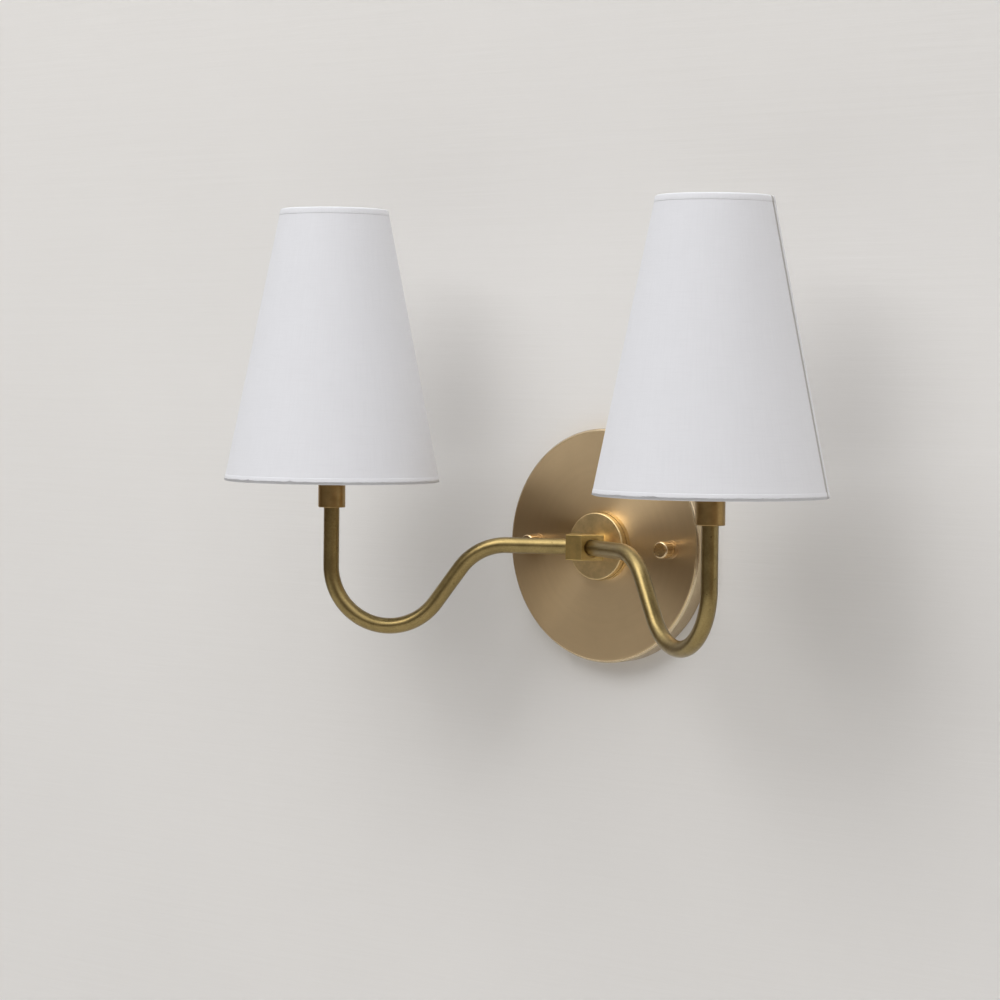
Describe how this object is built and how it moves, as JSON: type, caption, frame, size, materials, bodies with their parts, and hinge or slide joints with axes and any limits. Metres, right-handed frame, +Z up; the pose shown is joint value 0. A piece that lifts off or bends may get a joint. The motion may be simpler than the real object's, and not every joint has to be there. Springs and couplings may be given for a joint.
{
  "type": "double arm wall sconce",
  "caption": "Wall light with a round brass backplate, a mitred centre block, S-bent tube arms and tall tapered linen shades that clip over the bulbs.",
  "frame": {"origin": "centre of the backplate's rear rim, on the wall plane, at the middle of the wall box screw slots", "axes": "+X along the wall to the viewer's right, +Y into the wall, +Z up; the shades are on the -Y side"},
  "size_m": [0.4073, 0.1648, 0.2691],
  "materials": {
    "brass_satin": "satin, lacquered",
    "brass_tube": "aged, hand rubbed",
    "brass_collar": "aged",
    "brass_plain": "as machined",
    "clip_brass": "bright",
    "steel": "zinc plated",
    "spring_wire": "brassed spring wire",
    "ground_green": "green",
    "lead": "wire insulation",
    "phenolic": "moulded",
    "bulb_metal": "nickelled",
    "bulb_glass": "clear",
    "bulb_inside": "stem and filaments",
    "linen": "fine white linen on a stiff liner",
    "linen_trim": "white linen, rolled"
  },
  "bodies": {
    "fixture": {"backplate": "brass_satin", "hub": "brass_satin", "cross_block": "brass_satin", "nipple": "brass_plain", "nipple_nut": "brass_plain", "arm_set_screws": "brass_plain", "mounting_plate": "steel", "mounting_studs": "steel", "stud_nuts": "steel", "lock_washer": "steel", "knob_washers": "steel", "ground_screw": "ground_green", "arm_left": "brass_tube", "arm_right": "brass_tube", "collar_left": "brass_collar", "collar_right": "brass_collar", "arm_leads_left": "lead", "arm_leads_right": "lead", "socket_nipple_left": "brass_plain", "socket_nipple_right": "brass_plain", "socket_shell_left": "brass_plain", "socket_shell_right": "brass_plain", "socket_contact_left": "brass_plain", "socket_contact_right": "brass_plain", "socket_body_left": "phenolic", "socket_body_right": "phenolic"},
    "knob_left": {"knob_left": "brass_satin"},
    "knob_right": {"knob_right": "brass_satin"},
    "bulb_left": {"bulb_cap_left": "bulb_metal", "bulb_contact_left": "bulb_metal", "bulb_glass_left": "bulb_glass", "bulb_stem_left": "bulb_inside"},
    "clip_left": {"bulb_clip_left": "spring_wire", "clip_ferrule_left": "clip_brass"},
    "shade_left": {"shade_spider_left": "clip_brass", "swivel_pin_left": "clip_brass", "shade_skin_left": "linen", "shade_ring_top_left": "spring_wire", "shade_ring_bottom_left": "spring_wire", "shade_trim_top_left": "linen_trim", "shade_trim_bottom_left": "linen_trim"},
    "bulb_right": {"bulb_cap_right": "bulb_metal", "bulb_contact_right": "bulb_metal", "bulb_glass_right": "bulb_glass", "bulb_stem_right": "bulb_inside"},
    "clip_right": {"bulb_clip_right": "spring_wire", "clip_ferrule_right": "clip_brass"},
    "shade_right": {"shade_spider_right": "clip_brass", "swivel_pin_right": "clip_brass", "shade_skin_right": "linen", "shade_ring_top_right": "spring_wire", "shade_ring_bottom_right": "spring_wire", "shade_trim_top_right": "linen_trim", "shade_trim_bottom_right": "linen_trim"}
  },
  "joints": [
    {"name": "knob_left_turn", "type": "hinge", "parent": "fixture", "child": "knob_left", "pos_m": [-0.0495, -0.012, 0], "axis": [0, -1, 0], "range_deg": [0, 3150]},
    {"name": "bulb_left_unscrew", "type": "hinge", "parent": "fixture", "child": "bulb_left", "pos_m": [-0.13834, -0.09949, 0.0595], "axis": [0, 0, 1], "range_deg": [0, 1350]},
    {"name": "shade_left_lift", "type": "slide", "parent": "bulb_left", "child": "clip_left", "axis": [0, 0, 1], "range_m": [0, 0.13]},
    {"name": "shade_left_tilt", "type": "hinge", "parent": "clip_left", "child": "shade_left", "pos_m": [-0.13834, -0.09949, 0.1692], "axis": [0, 1, 0], "range_deg": [-12, 12]},
    {"name": "knob_right_turn", "type": "hinge", "parent": "fixture", "child": "knob_right", "pos_m": [0.0495, -0.012, 0], "axis": [0, -1, 0], "range_deg": [0, 3150]},
    {"name": "bulb_right_unscrew", "type": "hinge", "parent": "fixture", "child": "bulb_right", "pos_m": [0.13834, -0.09949, 0.0595], "axis": [0, 0, 1], "range_deg": [0, 1350]},
    {"name": "shade_right_lift", "type": "slide", "parent": "bulb_right", "child": "clip_right", "axis": [0, 0, 1], "range_m": [0, 0.13]},
    {"name": "shade_right_tilt", "type": "hinge", "parent": "clip_right", "child": "shade_right", "pos_m": [0.13834, -0.09949, 0.1692], "axis": [0, 1, 0], "range_deg": [-12, 12]}
  ]
}
